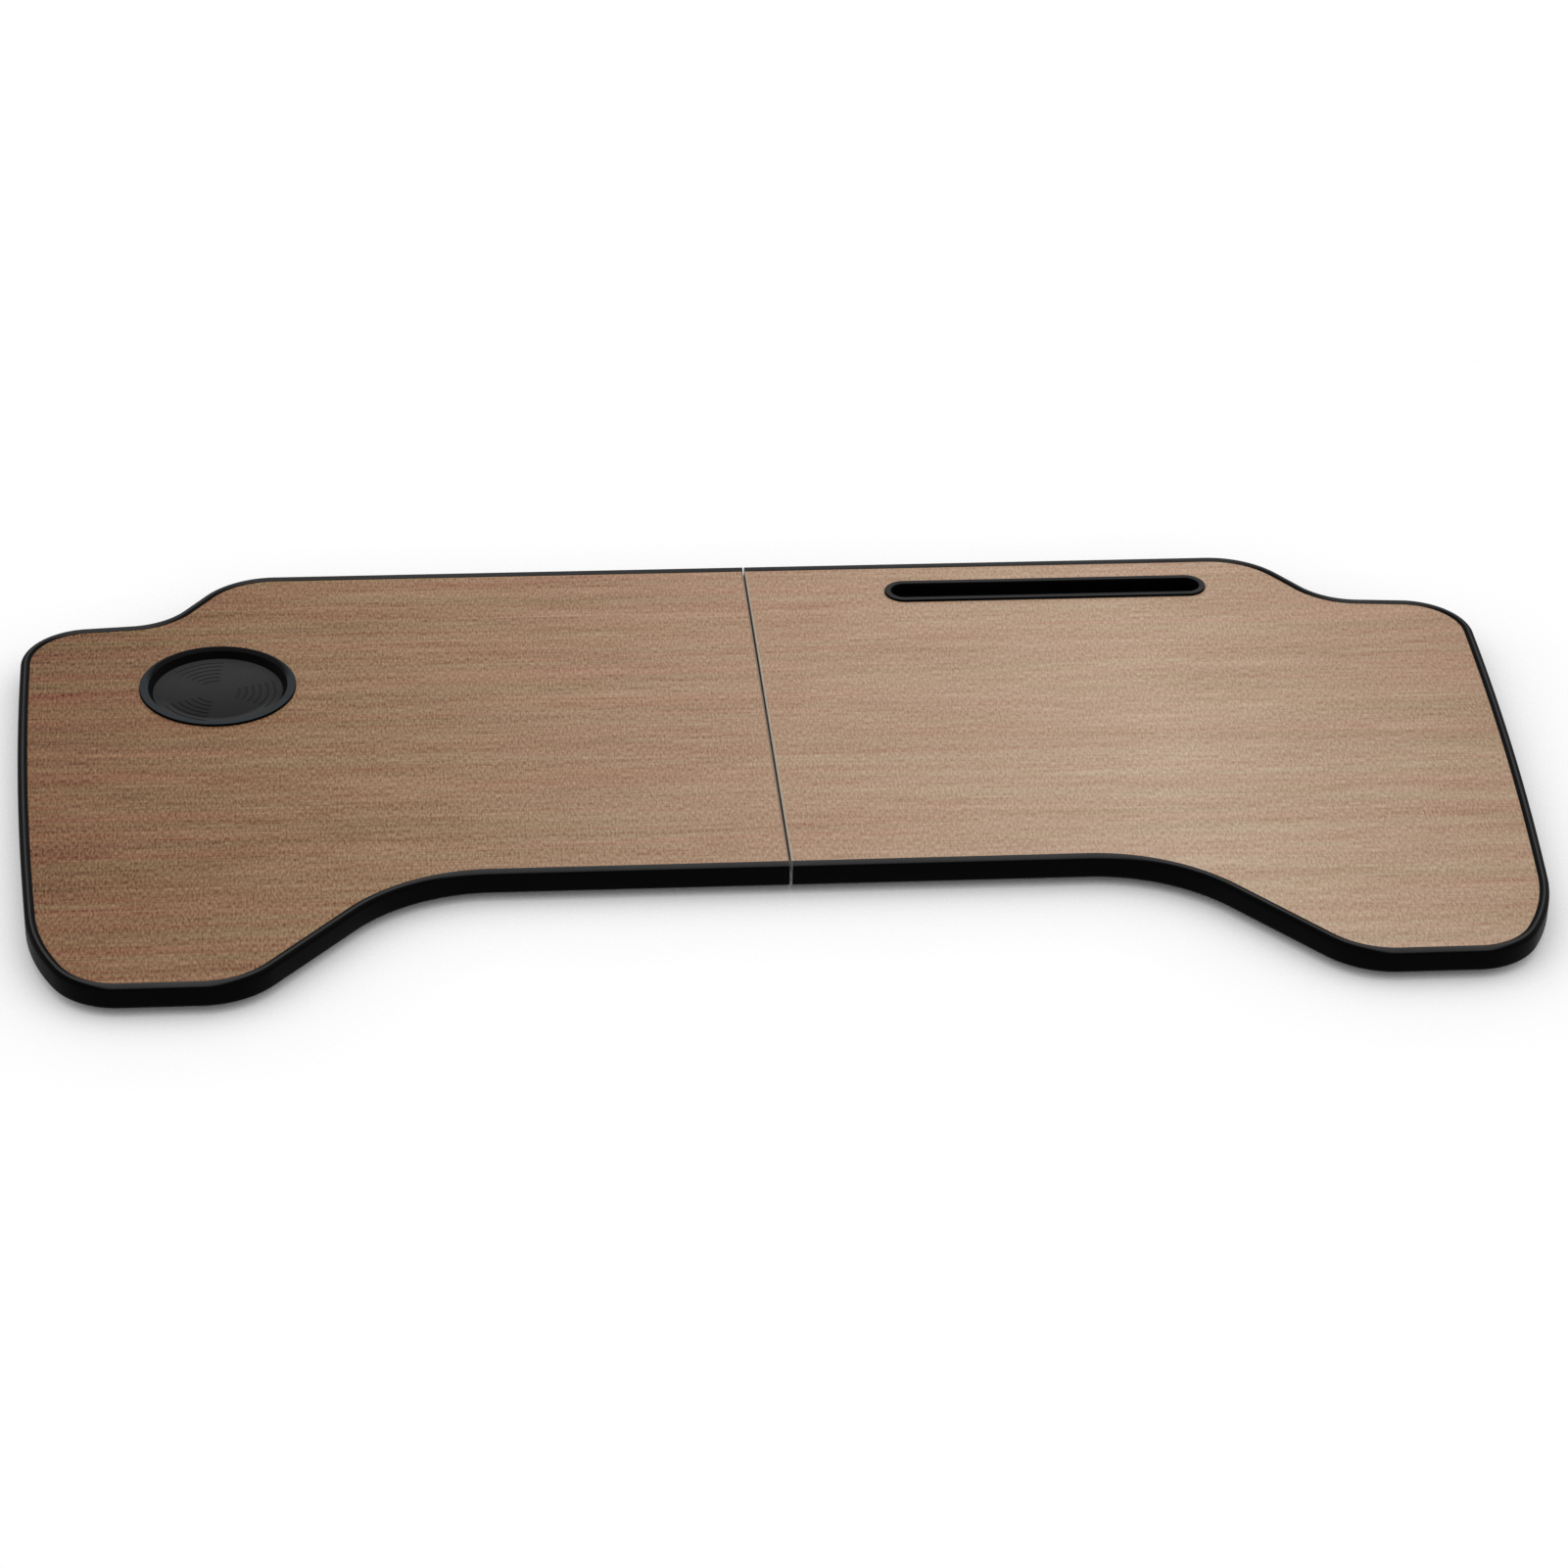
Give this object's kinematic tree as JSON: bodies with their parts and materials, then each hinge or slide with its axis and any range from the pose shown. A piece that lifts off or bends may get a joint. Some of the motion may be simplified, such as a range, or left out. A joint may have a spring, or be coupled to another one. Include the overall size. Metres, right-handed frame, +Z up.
{
  "type": "laptop tray",
  "caption": "Flat folding laptop tray with wood-grain top, black edge moulding, round cup recess, tablet slot, front body recess and a hinged centre seam.",
  "frame": {"origin": "on the supporting surface, under the centre of the tray's overall box", "axes": "+X to the right along the tray's width, +Y to the rear edge, +Z up; the fold line lies along Y at x = 0"},
  "size_m": [0.8594, 0.442, 0.0195],
  "materials": {
    "wood_laminate": "satin wood-grain laminate",
    "board_core": "raw fibreboard",
    "backing": "matt black balancing sheet",
    "edge_moulding": "satin black extruded moulding",
    "seam_band": "light grey edge band",
    "moulded_black": "satin black injection moulding",
    "foot_rubber": "matt rubber",
    "hinge_steel": "nickel-plated steel",
    "screw_steel": "zinc-plated steel"
  },
  "bodies": {
    "left_half": {"left_core_panel": "board_core", "left_top_laminate": "wood_laminate", "left_backing_sheet": "backing", "left_edge_moulding": "edge_moulding", "left_seam_band": "seam_band", "left_rubber_feet": "foot_rubber", "left_foot_screws": "screw_steel", "left_hinge_screws": "screw_steel", "front_hinge_left_leaf": "hinge_steel", "front_hinge_pin": "hinge_steel", "rear_hinge_left_leaf": "hinge_steel", "rear_hinge_pin": "hinge_steel", "cup_holder": "moulded_black"},
    "right_half": {"right_core_panel": "board_core", "right_top_laminate": "wood_laminate", "right_backing_sheet": "backing", "right_edge_moulding": "edge_moulding", "right_seam_band": "seam_band", "tablet_slot_liner": "moulded_black", "right_rubber_feet": "foot_rubber", "right_foot_screws": "screw_steel", "right_hinge_screws": "screw_steel", "front_hinge_right_leaf": "hinge_steel", "rear_hinge_right_leaf": "hinge_steel"}
  },
  "joints": [
    {"name": "fold_hinge", "type": "hinge", "parent": "left_half", "child": "right_half", "pos_m": [0, 0, 0.0035], "axis": [0, 1, 0], "range_deg": [0, 178.6]}
  ]
}
